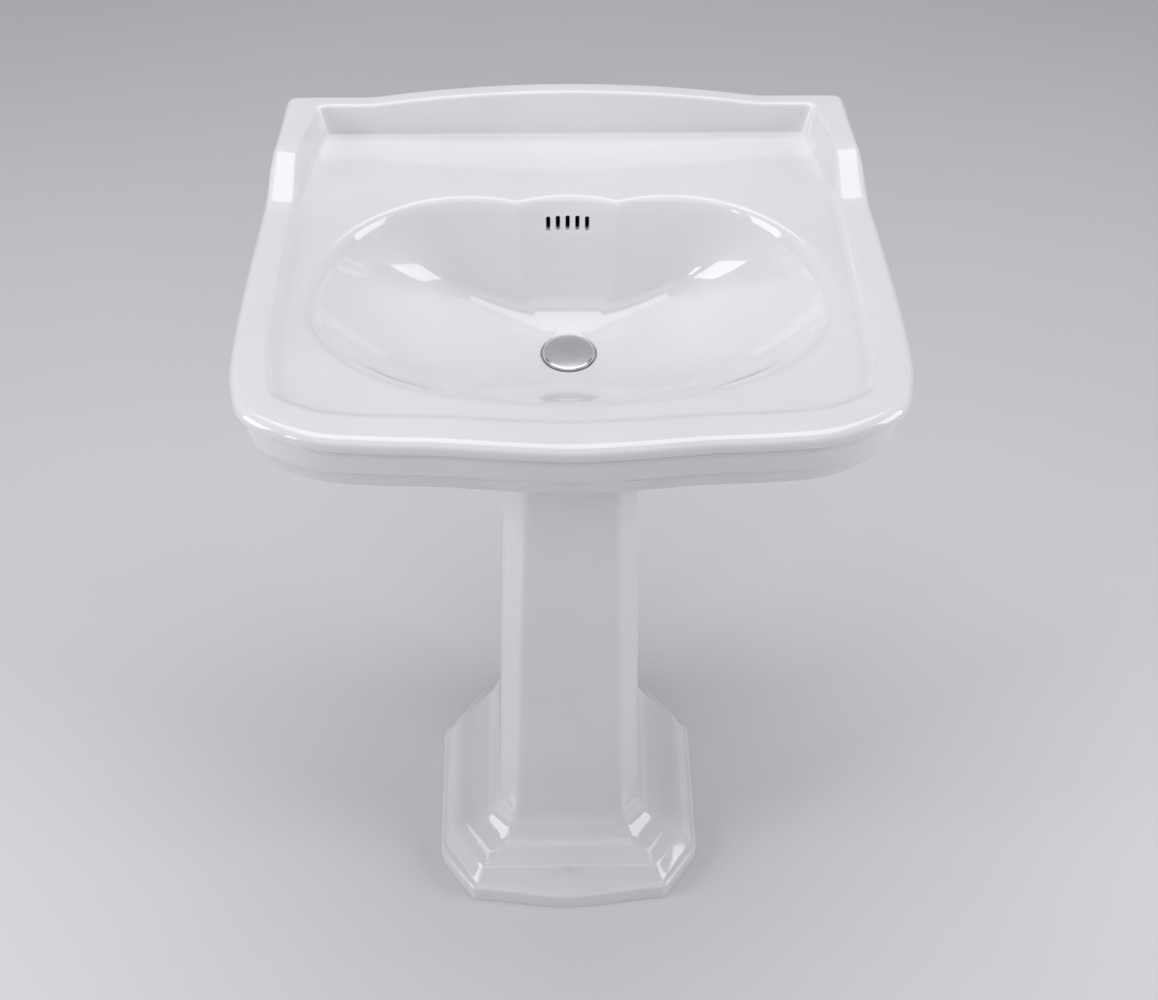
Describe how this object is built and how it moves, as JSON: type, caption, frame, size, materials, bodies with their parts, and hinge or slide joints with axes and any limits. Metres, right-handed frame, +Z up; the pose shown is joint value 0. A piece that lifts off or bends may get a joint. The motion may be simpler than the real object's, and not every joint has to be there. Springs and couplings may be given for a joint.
{
  "type": "pedestal sink",
  "caption": "Rectangular ceramic basin with a bowed upstand, scalloped oval bowl and overflow slots on an octagonal pedestal, with a click waste, a bottle trap and wall fixings.",
  "frame": {"origin": "on the floor, under the axis of the waste, at the middle of the box", "axes": "+Z up, +Y towards the wall, +X to the right of a person at the sink"},
  "size_m": [0.7, 0.63, 0.8965],
  "materials": {
    "glaze": "clear high-gloss white glaze",
    "chrome": "polished chrome plate",
    "brass": "turned brass",
    "steel": "zinc-plated steel",
    "rubber": "matte black rubber",
    "foam": "closed-cell foam",
    "nylon": "natural nylon"
  },
  "bodies": {
    "root": {"basin": "glaze", "pedestal": "glaze", "saddle_pad_front": "rubber", "saddle_pad_left": "rubber", "saddle_pad_right": "rubber", "click_cartridge": "brass", "click_spring": "steel", "waste_body": "chrome", "flange_washer": "foam", "taper_washer": "rubber", "slip_washer": "nylon", "back_nut": "brass", "trap_inlet_washer": "rubber", "trap_inlet_nut": "chrome", "trap_body": "chrome", "trap_outlet_nut": "chrome", "trap_outlet_washer": "rubber", "outlet_pipe": "chrome", "wall_rosette": "chrome", "hanger_bolt_left": "steel", "hanger_bolt_right": "steel", "wall_plug_left": "nylon", "wall_plug_right": "nylon", "bolt_sleeve_left": "nylon", "bolt_sleeve_right": "nylon", "bolt_washer_left": "steel", "bolt_washer_right": "steel", "bolt_nut_left": "steel", "bolt_nut_right": "steel"},
    "plug": {"plug_cap": "chrome", "plug_seal": "rubber", "plug_stem": "brass"},
    "cup": {"trap_cup": "chrome", "trap_cup_seal": "rubber"}
  },
  "joints": [
    {"name": "plug_slide", "type": "slide", "parent": "root", "child": "plug", "axis": [0, 0, 1], "range_m": [0, 0.008], "deforming": ["click_spring"]},
    {"name": "cup_removal", "type": "slide", "parent": "root", "child": "cup", "axis": [0, 0, -1], "range_m": [0, 0.12]}
  ]
}
